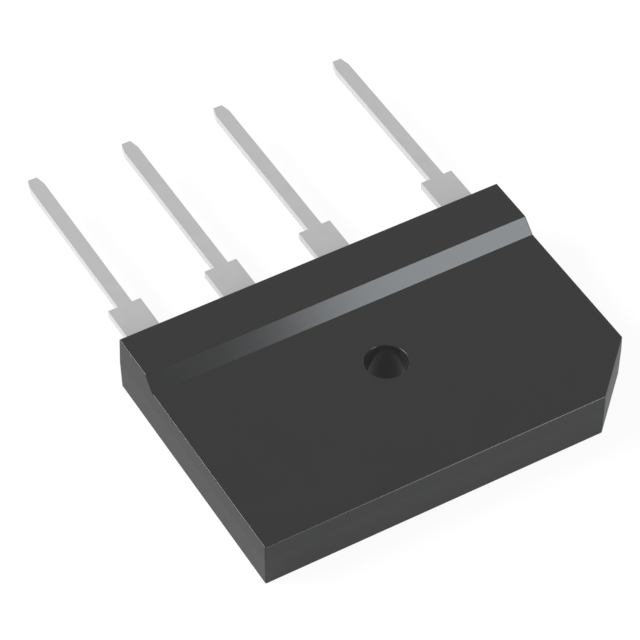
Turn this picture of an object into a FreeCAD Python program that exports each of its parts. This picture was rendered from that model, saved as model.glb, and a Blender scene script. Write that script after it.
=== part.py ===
import FreeCAD, Part
import math
import os

# Single-in-line bridge rectifier, in millimetres.
# A flat moulded body with a screw hole, a thicker strip along the lead edge and one cut
# corner, and four stamped leads in one plane.  Inside, the leads widen into pads that are
# set down close to the back face.  The pads carry four rectifier dies, and three copper
# clips join the tops of the dies to the pads beside them.
#
# Frame: the origin is on the axis of the screw hole, at the flat back face.  +Z points out
# of the stepped top face, +Y towards the leads, and +X towards the end with the cut corner.

# Moulded body
plate_thickness = 3.7       # the thin part round the screw hole
strip_thickness = 4.65      # the thick strip along the lead edge
body_width = 20.0           # from the plain long edge to the lead edge
strip_width = 3.8           # the flat top of the thick strip
slope_run = 1.0             # width of the slope between the two levels
end_margin = 2.5            # from the axis of an outer lead to the end of the body
corner_cut = 4.0            # legs of the 45 degree cut beside the plus lead
draft_angle = 1.2           # lean of the walls from the parting line, in degrees
edge_radius = 0.08          # rounding of the outer edges and of the screw hole's rim
screw_diameter = 2.9        # the fixing screw over its thread, nominally 3 mm
screw_clearance = 0.05      # round the screw, on the radius

# Leads, outside the body
lead_thickness = 0.6
lead_height = 2.45          # from the back face to the leads, and to the parting line
close_pitch = 7.5           # minus lead to the first alternating lead, and on to the second
wide_pitch = 10.0           # second alternating lead to the plus lead
shoulder_width = 2.5
shoulder_length = 4.0       # from the body to the narrow pin
pin_width = 1.1
pin_offset = 0.05           # from the middle of the shoulder, towards the cut corner
pin_length = 14.1           # from the shoulder to the tip
tip_width = 0.7
tip_taper = 0.8             # length of the tapered tip

# Lead frame, inside the body
back_cover = 0.7            # moulding between the pads and the back face
side_cover = 1.0            # moulding between the pads and the outer walls
hole_cover = 1.2            # moulding between the pads and the screw hole
pad_gap = 0.8               # moulding between neighbouring pads
entry_length = 1.2          # level stretch of each lead inside the lead edge
setdown_run = 1.3           # length over which a lead drops to its pad
lead_bend_radius = 0.3      # inside radius of a lead's bends

# Dies, solder and clips
die_size = 3.4
die_thickness = 0.3
mesa_margin = 0.25          # the glass-covered slope round a die's top
solder_thickness = 0.1
clip_width = 2.6
clip_thickness = 0.4
clip_bend_radius = 0.2      # inside radius of a clip's bends
dimple_height = 0.3         # a clip reaches down to each die with a pressed dimple
contact_radius = 0.8        # flat end of a dimple
step_run = 0.8              # length over which a clip drops to its foot
foot_length = 1.6
foot_inset = 0.3            # from a pad's edge to the clip's foot

# The body in plan
hole_radius = screw_diameter / 2 + screw_clearance
lead_row = 2 * close_pitch + wide_pitch
body_length = lead_row + 2 * end_margin
lead_edge = body_width / 2
ridge_y = lead_edge - strip_width
valley_y = ridge_y - slope_run
draft = math.tan(math.radians(draft_angle))

# The row of leads, from the minus end to the cut corner
minus_x = -lead_row / 2
ac_left_x = minus_x + close_pitch
ac_right_x = ac_left_x + close_pitch
plus_x = ac_right_x + wide_pitch

# Heights inside the body
pad_top = back_cover + lead_thickness
die_bottom = pad_top + solder_thickness
die_top = die_bottom + die_thickness
contact_height = die_top + solder_thickness
clip_bottom = contact_height + dimple_height
foot_bottom = pad_top + solder_thickness

# Edges of the pads: neighbours part half-way between their leads
left_split = (minus_x + ac_left_x) / 2
middle_split = (ac_left_x + ac_right_x) / 2
right_split = (ac_right_x + plus_x) / 2
setdown_start = lead_edge - entry_length - setdown_run
pad_far = setdown_start - lead_thickness
ac_pad_near = -(hole_radius + hole_cover)
plus_strip_far = ac_pad_near - pad_gap
beyond = body_length + body_width    # reaches past every edge of the body

# Places of the dies
near_die_y = (plus_strip_far + side_cover - lead_edge) / 2
far_die_y = (pad_far - ac_pad_near) / 2
left_die_x = ac_left_x
right_die_x = (ac_right_x + right_split) / 2

ALONG_Y = FreeCAD.Vector(0, 1, 0)
AGAINST_X = FreeCAD.Vector(-1, 0, 0)
UP = FreeCAD.Vector(0, 0, 1)


def flat_face(points):
    """A flat face with straight edges through points."""
    return Part.Face(Part.makePolygon(points + points[:1]))


def tapered(lower, upper):
    """A solid with flat walls between two outlines that have the same number of corners."""
    faces = [flat_face(lower), flat_face(upper)]
    for here in range(len(lower)):
        before = here - 1
        faces.append(flat_face([lower[before], lower[here], upper[here], upper[before]]))
    solid = Part.Solid(Part.Shell(faces))
    return solid if solid.Volume > 0 else solid.reversed()


def outline(inset, height):
    """The corners of the body in plan, moved inwards by inset, at a height."""
    end = body_length / 2 - inset
    side = lead_edge - inset
    cut = max(corner_cut - inset * (2 - math.sqrt(2)), 0)
    corners = [(-end, -side), (end - cut, -side), (end, side), (-end, side)]
    if cut > 0:
        corners.insert(2, (end, cut - side))
    return [FreeCAD.Vector(x, y, height) for x, y in corners]


def plate(x_low, x_high, y_low, y_high, z_low, thickness):
    """A flat rectangular plate."""
    corner = FreeCAD.Vector(x_low, y_low, z_low)
    return Part.makeBox(x_high - x_low, y_high - y_low, thickness, corner)


def square_plate(x, y, z_low, size, thickness):
    """A flat square plate centred on x, y."""
    half = size / 2
    return plate(x - half, x + half, y - half, y + half, z_low, thickness)


def bent_strip(start, along, path, width, thickness, inner_radius):
    """A sheet strip of one width that follows path, its middle line, with rounded bends.

    path lists (distance, height) from start, in the upright plane that holds along.
    """
    middle = [start + along * distance + UP * height for distance, height in path]
    across = along.cross(UP)
    sides = []
    for offset in (thickness / 2, -thickness / 2):
        edges = []
        last = middle[0] + across.cross((middle[1] - middle[0]).normalize()) * offset
        for before, corner, after in zip(middle, middle[1:], middle[2:]):
            into = (corner - before).normalize()
            out = (after - corner).normalize()
            normal_in = across.cross(into)
            normal_out = across.cross(out)
            turn = into.getAngle(out)
            towards = 1 if normal_in.dot(out) > 0 else -1
            middle_radius = inner_radius + thickness / 2
            tangent = middle_radius * math.tan(turn / 2)
            arc_start = corner - into * tangent + normal_in * offset
            arc_end = corner + out * tangent + normal_out * offset
            centre = corner - into * tangent + normal_in * towards * middle_radius
            radius = middle_radius - towards * offset
            arc_middle = centre + (corner - centre).normalize() * radius
            edges.append(Part.LineSegment(last, arc_start).toShape())
            edges.append(Part.Arc(arc_start, arc_middle, arc_end).toShape())
            last = arc_end
        end = middle[-1] + across.cross((middle[-1] - middle[-2]).normalize()) * offset
        edges.append(Part.LineSegment(last, end).toShape())
        sides.append((edges, end))
    (upper, upper_end), (lower, lower_end) = sides
    upper_start = upper[0].Vertexes[0].Point
    lower_start = lower[0].Vertexes[0].Point
    caps = [Part.LineSegment(upper_end, lower_end).toShape(),
            Part.LineSegment(lower_start, upper_start).toShape()]
    face = Part.Face(Part.Wire(Part.__sortEdges__(upper + lower + caps)))
    face.translate(across * (-width / 2))
    return face.extrude(across * width)


def body_half(height):
    """Half of the body, from the parting line to a height above or below it."""
    inset = abs(height - lead_height) * draft
    return tapered(outline(0, lead_height), outline(inset, height))


def rounded(shape, keep_height):
    """shape with its outward edges rounded, apart from those that lie at keep_height."""
    edges = []
    for edge in shape.Edges:
        heights = [vertex.Z for vertex in edge.Vertexes]
        at_parting = all(abs(height - keep_height) < 1e-6 for height in heights)
        in_valley = all(abs(vertex.Y - valley_y) < 1e-6 for vertex in edge.Vertexes)
        if not at_parting and not in_valley:
            edges.append(edge)
    return shape.makeFillet(edge_radius, edges)


def body_envelope():
    """The outside of the body: drafted walls, the two levels, rounded edges, the hole."""
    relief_points = [
        FreeCAD.Vector(-beyond, valley_y, plate_thickness),
        FreeCAD.Vector(-beyond, -beyond, plate_thickness),
        FreeCAD.Vector(-beyond, -beyond, 2 * strip_thickness),
        FreeCAD.Vector(-beyond, ridge_y, 2 * strip_thickness),
        FreeCAD.Vector(-beyond, ridge_y, strip_thickness),
    ]
    relief = flat_face(relief_points).extrude(FreeCAD.Vector(2 * beyond, 0, 0))
    upper = rounded(body_half(strip_thickness).cut(relief), lead_height)
    lower = rounded(body_half(0), lead_height)
    hole = Part.makeCylinder(hole_radius, strip_thickness)
    rim = Part.makeCylinder(hole_radius + edge_radius, edge_radius)
    rim.translate(UP * (plate_thickness - edge_radius))
    ring = Part.makeTorus(hole_radius + edge_radius, edge_radius)
    ring.translate(UP * (plate_thickness - edge_radius))
    return upper.fuse(lower).cut(hole).cut(rim.cut(ring))


def pad(rectangles):
    """A flat pad of the lead frame: rectangles joined and kept inside the side cover."""
    room = flat_face(outline(side_cover, back_cover)).extrude(UP * lead_thickness)
    plates = [plate(*limits, back_cover, lead_thickness) for limits in rectangles]
    joined = plates[0].fuse(plates[1:]) if len(plates) > 1 else plates[0]
    return joined.common(room)


def hole_notch():
    """What a pad beside the screw hole leaves free: a round-ended slot open to the near edge."""
    radius = hole_radius + hole_cover
    slot = plate(-radius, radius, -beyond, 0, 0, strip_thickness)
    return Part.makeCylinder(radius, strip_thickness).fuse(slot)


def lead(x, own_pad):
    """A stamped lead in one piece: pad, set-down, shoulder and pin with a tapered tip."""
    pad_middle = back_cover + lead_thickness / 2
    lead_middle = lead_height + lead_thickness / 2
    shoulder_end = lead_edge + shoulder_length
    path = [
        (pad_far - shoulder_width / 2, pad_middle),
        (setdown_start, pad_middle),
        (setdown_start + setdown_run, lead_middle),
        (shoulder_end, lead_middle),
    ]
    base = FreeCAD.Vector(x, 0, 0)
    neck = bent_strip(base, ALONG_Y, path, shoulder_width, lead_thickness, lead_bend_radius)
    tip_y = shoulder_end + pin_length
    pin_half = [
        (pin_width / 2, shoulder_end - pin_width),
        (pin_width / 2, tip_y - tip_taper),
        (tip_width / 2, tip_y),
    ]
    mirrored = [(-half, y) for half, y in reversed(pin_half)]
    pin_x = x + pin_offset
    points = [FreeCAD.Vector(pin_x + half, y, lead_height) for half, y in pin_half + mirrored]
    pin = flat_face(points).extrude(UP * lead_thickness)
    return own_pad.fuse([neck, pin]).removeSplitter()


def die(x, y):
    """A silicon die: a square base whose top slopes in to a smaller flat mesa."""
    half_height = die_thickness / 2
    base = square_plate(x, y, die_bottom, die_size, half_height)
    outlines = []
    for inset, height in ((0, half_height), (mesa_margin, die_thickness)):
        half = die_size / 2 - inset
        z = die_bottom + height
        corners = [(x - half, y - half), (x + half, y - half), (x + half, y + half), (x - half, y + half)]
        outlines.append([FreeCAD.Vector(px, py, z) for px, py in corners])
    return base.fuse(tapered(*outlines)).removeSplitter()


def clip(start, along, step_start, contacts):
    """A copper clip: a flat bar with a dimple over each contact and a foot one step down."""
    level = clip_bottom + clip_thickness / 2
    foot_level = foot_bottom + clip_thickness / 2
    step_end = step_start + step_run
    foot_end = step_end + clip_thickness + foot_length
    path = [(-clip_width / 2, level), (step_start, level), (step_end, foot_level), (foot_end, foot_level)]
    shape = bent_strip(start, along, path, clip_width, clip_thickness, clip_bend_radius)
    for distance in contacts:
        place = start + along * distance + UP * contact_height
        dimple = Part.makeCone(contact_radius, contact_radius + dimple_height, dimple_height, place)
        pocket = dimple.translated(UP * clip_thickness)
        shape = shape.fuse(dimple).cut(pocket)
    return shape.removeSplitter()


def foot_solder(start, along, step_start):
    """The solder under a clip's foot."""
    foot_start = step_start + step_run + clip_thickness
    height = foot_bottom - solder_thickness / 2
    path = [(foot_start, height), (foot_start + foot_length, height)]
    return bent_strip(start, along, path, clip_width, solder_thickness, clip_bend_radius)


# Pads and leads
ac_left_pad = pad([(left_split + pad_gap / 2, middle_split - pad_gap / 2, ac_pad_near, pad_far)])
ac_right_pad = pad([(middle_split + pad_gap / 2, right_split - pad_gap / 2, ac_pad_near, pad_far)])
minus_pad = pad([(-beyond, left_split - pad_gap / 2, -beyond, pad_far)])
plus_pad = pad([
    (left_split + pad_gap / 2, beyond, -beyond, plus_strip_far),
    (right_split + pad_gap / 2, beyond, -beyond, pad_far),
])
pieces = {
    "lead_minus": lead(minus_x, minus_pad),
    "lead_ac_left": lead(ac_left_x, ac_left_pad.cut(hole_notch())),
    "lead_ac_right": lead(ac_right_x, ac_right_pad.cut(hole_notch())),
    "lead_plus": lead(plus_x, plus_pad),
}

# Dies with their solder
die_places = {
    "plus_left": (left_die_x, near_die_y),
    "plus_right": (right_die_x, near_die_y),
    "minus_left": (left_die_x, far_die_y),
    "minus_right": (right_die_x, far_die_y),
}
for name, (x, y) in die_places.items():
    contact_place = FreeCAD.Vector(x, y, die_top)
    pieces["die_" + name] = die(x, y)
    pieces["solder_under_die_" + name] = square_plate(x, y, pad_top, die_size, solder_thickness)
    pieces["solder_on_die_" + name] = Part.makeCylinder(contact_radius, solder_thickness, contact_place)

# Clips with the solder under their feet
short_step = ac_pad_near + foot_inset - clip_thickness - step_run - near_die_y
long_step = right_die_x - (left_split - pad_gap / 2 - foot_inset - clip_thickness) - step_run
clips = {
    "ac_left": (left_die_x, near_die_y, ALONG_Y, short_step, [0]),
    "ac_right": (right_die_x, near_die_y, ALONG_Y, short_step, [0]),
    "minus": (right_die_x, far_die_y, AGAINST_X, long_step, [0, right_die_x - left_die_x]),
}
for name, (x, y, along, step_start, contacts) in clips.items():
    start = FreeCAD.Vector(x, y, 0)
    pieces["clip_" + name] = clip(start, along, step_start, contacts)
    pieces["solder_under_clip_" + name] = foot_solder(start, along, step_start)

# The moulding fills the envelope round everything that it holds
pieces["moulded_body"] = body_envelope().cut(list(pieces.values()))

os.makedirs("parts", exist_ok=True)
for name, shape in pieces.items():
    solid = shape.Solids[0]
    print(name, "solids", len(shape.Solids), "valid", shape.isValid(), "volume", round(shape.Volume, 3))
    solid.exportStep("parts/" + name + ".step")
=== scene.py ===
import math

import bpy
from mathutils import Matrix, Quaternion, Vector

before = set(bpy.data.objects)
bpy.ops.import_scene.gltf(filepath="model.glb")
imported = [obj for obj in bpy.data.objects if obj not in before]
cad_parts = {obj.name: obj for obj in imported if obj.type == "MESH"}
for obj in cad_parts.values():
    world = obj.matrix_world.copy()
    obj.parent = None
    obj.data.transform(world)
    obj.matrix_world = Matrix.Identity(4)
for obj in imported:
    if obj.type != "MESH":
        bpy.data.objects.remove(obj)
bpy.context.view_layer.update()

# A flat moulded rectifier with four tinned leads, lying on its back on a pale floor.
# Lengths are in metres, in the part's own frame: the origin is on the screw hole's axis at the
# back face, +Y points towards the leads and +X towards the end with the cut corner.
MM = 0.001

# Camera, from the edges of the body and the leads in the photograph
CAMERA_PLACE = Vector((-79.044, -126.86, 167.138)) * MM
CAMERA_AIM = Vector((-0.198, 8.524, 0.0)) * MM
CAMERA_ROLL = math.radians(0.178)
FOCAL_PIXELS = 3302.9
IMAGE_PIXELS = 640
SENSOR_WIDTH = 36.0
CLIP_START = 0.01
CLIP_END = 10

# A face is flat where its normal's share along Z is above the first, and upright below the second
FLAT_ABOVE = 0.6
UPRIGHT_BELOW = 0.2

# Moulding compound: its two shades, and the roughness of its flats and of its outer walls
MOULDING_DARK = (0.0170, 0.0170, 0.0167)
MOULDING_LIGHT = (0.0210, 0.0206, 0.0198)
MOULDING_IOR = 1.45
FLAT_ROUGHNESS = (0.115, 0.135)
OUTER_ROUGHNESS = (0.42, 0.48)
MOTTLE_SIZE = 2.5 * MM
GRAIN_SIZE = 0.06 * MM
GRAIN_DEPTH = 0.0002 * MM

# The hole's wall lies within this distance of the axis. It is less rough than the outer walls and
# is painted paler there as painted light, and the floor under it glows less as painted shade.
HOLE_REACH = 1.7 * MM
HOLE_ROUGHNESS = 0.18
HOLE_PAINTED_LIGHT = (0.036, 0.036, 0.036)
GLOW_UNDER_HOLE = 0.45

# Tin plating: the two shades of its rolled flats, the brighter shades of its upright sides,
# which are painted light, and the rolling lines
TIN_FLATS = ((0.525, 0.522, 0.520), (0.575, 0.572, 0.570))
TIN_SIDES_PAINTED_LIGHT = ((0.70, 0.70, 0.70), (0.75, 0.75, 0.75))
TIN_ROUGHNESS = (0.30, 0.40)
TIN_METALLIC = 0.5
TIN_CLOUD_SIZE = 1.2 * MM
LINE_WIDTH = 0.05 * MM
LINE_STRETCH = 20
LINE_DEPTH = 0.0006 * MM

# Room
FLOOR_SIZE = 3.0
FLOOR_GAP = 0.01 * MM
FLOOR_COLOUR = (0.86, 0.86, 0.86, 1)
WHITE = (1, 1, 1, 1)

# Levels seen by the camera, seen in a mirror or through glass, and as falling light
FLOOR_GLOW = (1.06, 0.94, 0.0)
FLOOR_GLOW_SHARE = (0.86, 0.7, 0.0)
WORLD_LIGHT = (1.0, 0.70, 0.24)


def new_material(name):
    """An empty node material with its output node."""
    material = bpy.data.materials.new(name)
    material.use_nodes = True
    nodes = material.node_tree.nodes
    nodes.clear()
    output = nodes.new("ShaderNodeOutputMaterial")
    return material, nodes, material.node_tree.links, output


def solid_material(name):
    """A node material with one surface shader that is joined to its output."""
    material, nodes, links, output = new_material(name)
    shader = nodes.new("ShaderNodeBsdfPrincipled")
    links.new(shader.outputs["BSDF"], output.inputs["Surface"])
    return material, nodes, links, shader


def place_coordinates(nodes):
    """The surface point in the part's frame, in metres."""
    return nodes.new("ShaderNodeTexCoord").outputs["Object"]


def noise(nodes, links, place, size, detail):
    """A noise texture whose features are about size across."""
    texture = nodes.new("ShaderNodeTexNoise")
    texture.inputs["Scale"].default_value = 1 / size
    texture.inputs["Detail"].default_value = detail
    links.new(place, texture.inputs["Vector"])
    return texture.outputs["Fac"]


def spread(nodes, links, value, limits):
    """Maps a 0 to 1 value to the range between two limits."""
    node = nodes.new("ShaderNodeMapRange")
    low, high = limits
    node.inputs["To Min"].default_value = low
    node.inputs["To Max"].default_value = high
    links.new(value, node.inputs["Value"])
    return node.outputs["Result"]


def on_sides(nodes, links):
    """1 on upright faces and 0 on faces that look up or down, with a soft change between."""
    parts = nodes.new("ShaderNodeSeparateXYZ")
    links.new(nodes.new("ShaderNodeTexCoord").outputs["Normal"], parts.inputs["Vector"])
    size = nodes.new("ShaderNodeMath")
    size.operation = "ABSOLUTE"
    links.new(parts.outputs["Z"], size.inputs[0])
    step = nodes.new("ShaderNodeMapRange")
    step.inputs["From Min"].default_value = FLAT_ABOVE
    step.inputs["From Max"].default_value = UPRIGHT_BELOW
    links.new(size.outputs["Value"], step.inputs["Value"])
    return step.outputs["Result"]


def beyond_hole(nodes, links, place):
    """0 within HOLE_REACH of the screw hole's axis and 1 elsewhere."""
    flat = nodes.new("ShaderNodeVectorMath")
    flat.operation = "MULTIPLY"
    flat.inputs[1].default_value = (1, 1, 0)
    links.new(place, flat.inputs[0])
    distance = nodes.new("ShaderNodeVectorMath")
    distance.operation = "LENGTH"
    links.new(flat.outputs["Vector"], distance.inputs[0])
    step = nodes.new("ShaderNodeMath")
    step.operation = "GREATER_THAN"
    step.inputs[1].default_value = HOLE_REACH
    links.new(distance.outputs["Value"], step.inputs[0])
    return step.outputs["Value"]


def blend(nodes, links, share, first, second):
    """Goes from the first value to the second as share goes from 0 to 1."""
    node = nodes.new("ShaderNodeMix")
    for socket, value in (("A", first), ("B", second)):
        if isinstance(value, float):
            node.inputs[socket].default_value = value
        else:
            links.new(value, node.inputs[socket])
    links.new(share, node.inputs["Factor"])
    return node.outputs["Result"]


def two_colours(nodes, links, share, first, second):
    """Goes from the first colour to the second as share goes from 0 to 1."""
    node = nodes.new("ShaderNodeMix")
    node.data_type = "RGBA"
    for socket, colour in (("A", first), ("B", second)):
        if isinstance(colour, tuple):
            node.inputs[socket].default_value = (*colour, 1)
        else:
            links.new(colour, node.inputs[socket])
    links.new(share, node.inputs["Factor"])
    return node.outputs["Result"]


def bump(nodes, links, height, depth):
    """A bump of the given depth in metres."""
    node = nodes.new("ShaderNodeBump")
    node.inputs["Distance"].default_value = depth
    links.new(height, node.inputs["Height"])
    return node.outputs["Normal"]


def moulding_material():
    """Dark epoxy moulding compound with faint mottling and grain.

    The flats are glossy, the screw hole is satin and painted paler as painted light, and the
    outer walls are dull.
    """
    material, nodes, links, shader = solid_material("moulding_compound")
    place = place_coordinates(nodes)
    mottle = noise(nodes, links, place, MOTTLE_SIZE, detail=3)
    grain = noise(nodes, links, place, GRAIN_SIZE, detail=2)
    sides = on_sides(nodes, links)
    outside = beyond_hole(nodes, links, place)

    colour = two_colours(nodes, links, mottle, MOULDING_DARK, MOULDING_LIGHT)
    # Painted light: the hole's wall and rim rounding get a paler colour than the moulding.
    walls_and_painted_hole_light = two_colours(nodes, links, outside, HOLE_PAINTED_LIGHT, colour)
    links.new(two_colours(nodes, links, sides, colour, walls_and_painted_hole_light), shader.inputs["Base Color"])

    flats = spread(nodes, links, mottle, FLAT_ROUGHNESS)
    outer = spread(nodes, links, grain, OUTER_ROUGHNESS)
    walls = blend(nodes, links, outside, HOLE_ROUGHNESS, outer)
    links.new(blend(nodes, links, sides, flats, walls), shader.inputs["Roughness"])

    links.new(bump(nodes, links, grain, GRAIN_DEPTH), shader.inputs["Normal"])
    shader.inputs["IOR"].default_value = MOULDING_IOR
    return material


def tin_material():
    """Tin plating on rolled strip, satin, with faint lines along it.

    Its upright sides are painted brighter than its flats, as painted light.
    """
    material, nodes, links, shader = solid_material("tin_plating")
    place = place_coordinates(nodes)
    stretch = nodes.new("ShaderNodeMapping")
    stretch.inputs["Scale"].default_value = (1, 1 / LINE_STRETCH, 1)
    links.new(place, stretch.inputs["Vector"])
    lines = noise(nodes, links, stretch.outputs["Vector"], LINE_WIDTH, detail=2)
    cloud = noise(nodes, links, place, TIN_CLOUD_SIZE, detail=3)

    flats = two_colours(nodes, links, cloud, *TIN_FLATS)
    # Painted light: the upright sides get brighter shades than the flats.
    sides_painted_light = two_colours(nodes, links, cloud, *TIN_SIDES_PAINTED_LIGHT)
    colour = two_colours(nodes, links, on_sides(nodes, links), flats, sides_painted_light)
    links.new(colour, shader.inputs["Base Color"])
    links.new(spread(nodes, links, cloud, TIN_ROUGHNESS), shader.inputs["Roughness"])
    links.new(bump(nodes, links, lines, LINE_DEPTH), shader.inputs["Normal"])
    shader.inputs["Metallic"].default_value = TIN_METALLIC
    return material


def speckled_material(name, size, detail, dark, light, roughness, metallic, depth=None):
    """A surface whose colour and roughness change between two limits, in speckles of one size.

    Where a depth is given, the speckles also stand up as a bump.
    """
    material, nodes, links, shader = solid_material(name)
    speckles = noise(nodes, links, place_coordinates(nodes), size, detail)
    links.new(two_colours(nodes, links, speckles, dark, light), shader.inputs["Base Color"])
    links.new(spread(nodes, links, speckles, roughness), shader.inputs["Roughness"])
    if depth is not None:
        links.new(bump(nodes, links, speckles, depth), shader.inputs["Normal"])
    shader.inputs["Metallic"].default_value = metallic
    return material


def copper_material():
    """Bare copper strip with slight tarnish."""
    return speckled_material(
        "bare_copper", size=0.8 * MM, detail=4,
        dark=(0.62, 0.26, 0.15), light=(0.86, 0.47, 0.32), roughness=(0.28, 0.45), metallic=1.0)


def silicon_material():
    """Polished silicon with a faint blue-grey cast."""
    return speckled_material(
        "silicon", size=0.5 * MM, detail=2,
        dark=(0.14, 0.15, 0.18), light=(0.20, 0.21, 0.24), roughness=(0.10, 0.20), metallic=0.6)


def solder_material():
    """Dull, slightly lumpy solder."""
    return speckled_material(
        "solder", size=0.15 * MM, detail=3,
        dark=(0.42, 0.43, 0.44), light=(0.58, 0.59, 0.60), roughness=(0.40, 0.60), metallic=1.0,
        depth=0.01 * MM)


def dress(start, material):
    """Gives a material to each node whose name begins with start."""
    for name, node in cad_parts.items():
        if name.startswith(start):
            node.data.materials.clear()
            node.data.materials.append(material)


def by_ray(nodes, links, levels):
    """One of three levels: seen by the camera, seen in a mirror or through glass, or falling."""
    seen, mirrored, falling = levels
    amounts = {"Is Camera Ray": seen, "Is Glossy Ray": mirrored, "Is Transmission Ray": mirrored}
    path = nodes.new("ShaderNodeLightPath")
    level = None
    for name, amount in amounts.items():
        step = nodes.new("ShaderNodeMath")
        step.operation = "MULTIPLY_ADD"
        step.inputs[1].default_value = amount - falling
        step.inputs[2].default_value = falling
        links.new(path.outputs[name], step.inputs[0])
        if level is not None:
            links.new(level, step.inputs[2])
        level = step.outputs["Value"]
    return level


def floor_material():
    """A plain lit floor that also glows where it is seen, so that only the shadow isn't white."""
    material, nodes, links, output = new_material("floor_white")
    lit = nodes.new("ShaderNodeBsdfDiffuse")
    lit.inputs["Color"].default_value = FLOOR_COLOUR
    glow = nodes.new("ShaderNodeEmission")
    glow.inputs["Color"].default_value = WHITE
    links.new(by_ray(nodes, links, FLOOR_GLOW), glow.inputs["Strength"])
    mix = nodes.new("ShaderNodeMixShader")
    # Painted shade: the floor under the screw hole glows less, in the shade of the part.
    outside = beyond_hole(nodes, links, place_coordinates(nodes))
    glow_share = by_ray(nodes, links, FLOOR_GLOW_SHARE)
    links.new(blend(nodes, links, outside, GLOW_UNDER_HOLE, glow_share), mix.inputs["Fac"])
    links.new(lit.outputs["BSDF"], mix.inputs[1])
    links.new(glow.outputs["Emission"], mix.inputs[2])
    links.new(mix.outputs["Shader"], output.inputs["Surface"])
    return material


def build_floor():
    """A plain pale floor just under the back face."""
    half = FLOOR_SIZE / 2
    corners = [(-half, -half, 0), (half, -half, 0), (half, half, 0), (-half, half, 0)]
    mesh = bpy.data.meshes.new("floor")
    mesh.from_pydata(corners, [], [(0, 1, 2, 3)])
    floor = bpy.data.objects.new("floor", mesh)
    floor.location.z = -FLOOR_GAP
    bpy.context.scene.collection.objects.link(floor)
    floor.data.materials.append(floor_material())


def build_world():
    """White where it is seen directly, and a plain even level as light."""
    world = bpy.data.worlds.new("studio")
    bpy.context.scene.world = world
    world.use_nodes = True
    nodes, links = world.node_tree.nodes, world.node_tree.links
    nodes.clear()
    output = nodes.new("ShaderNodeOutputWorld")
    background = nodes.new("ShaderNodeBackground")
    background.inputs["Color"].default_value = WHITE
    links.new(by_ray(nodes, links, WORLD_LIGHT), background.inputs["Strength"])
    links.new(background.outputs["Background"], output.inputs["Surface"])


def softbox(name, azimuth, elevation, lean, distance, size, radiance, colour):
    """A soft lamp that faces the part, turned by lean in its own plane.

    Angles in degrees, the azimuth from -Y towards +X; distance and size in metres.
    """
    turn, rise = math.radians(azimuth), math.radians(elevation)
    level = math.cos(rise)
    out = Vector((math.sin(turn) * level, -math.cos(turn) * level, math.sin(rise)))
    lamp = bpy.data.lights.new(name, "AREA")
    lamp.shape = "RECTANGLE"
    lamp.size, lamp.size_y = size
    lamp.energy = radiance * math.pi * size[0] * size[1]
    lamp.color = colour
    box = bpy.data.objects.new(name, lamp)
    box.location = out * distance
    facing = (-out).to_track_quat("-Z", "Y")
    box.rotation_euler = (facing @ Quaternion((0, 0, 1), math.radians(lean))).to_euler()
    bpy.context.scene.collection.objects.link(box)


def build_lamps():
    """A cool key lamp that the slope mirrors, and a rim lamp high on the left, past the leads."""
    softbox("key", azimuth=28.3, elevation=24.3, lean=-26.7, distance=0.5,
            size=(0.15, 0.414), radiance=7.5, colour=(0.90, 0.955, 1.0))
    softbox("rim", azimuth=-121, elevation=38, lean=0, distance=0.6,
            size=(0.42, 0.18), radiance=16.0, colour=(1, 1, 1))


def build_camera():
    """The photograph's view: the camera is placed, aimed and rolled a little."""
    data = bpy.data.cameras.new("camera")
    data.sensor_width = SENSOR_WIDTH
    data.lens = FOCAL_PIXELS * SENSOR_WIDTH / IMAGE_PIXELS
    data.clip_start = CLIP_START
    data.clip_end = CLIP_END
    camera = bpy.data.objects.new("camera", data)
    forward = (CAMERA_AIM - CAMERA_PLACE).normalized()
    level = forward.cross(Vector((0, 0, 1))).normalized()
    right = Matrix.Rotation(-CAMERA_ROLL, 3, forward) @ level
    up = right.cross(forward)
    rotation = Matrix((right, up, -forward)).transposed()
    camera.matrix_world = Matrix.Translation(CAMERA_PLACE) @ rotation.to_4x4()
    bpy.context.scene.collection.objects.link(camera)
    bpy.context.scene.camera = camera


dress("moulded_body", moulding_material())
dress("lead_", tin_material())
dress("clip_", copper_material())
dress("die_", silicon_material())
dress("solder_", solder_material())

build_floor()
build_world()
build_lamps()
build_camera()
bpy.context.scene.view_settings.view_transform = "Standard"
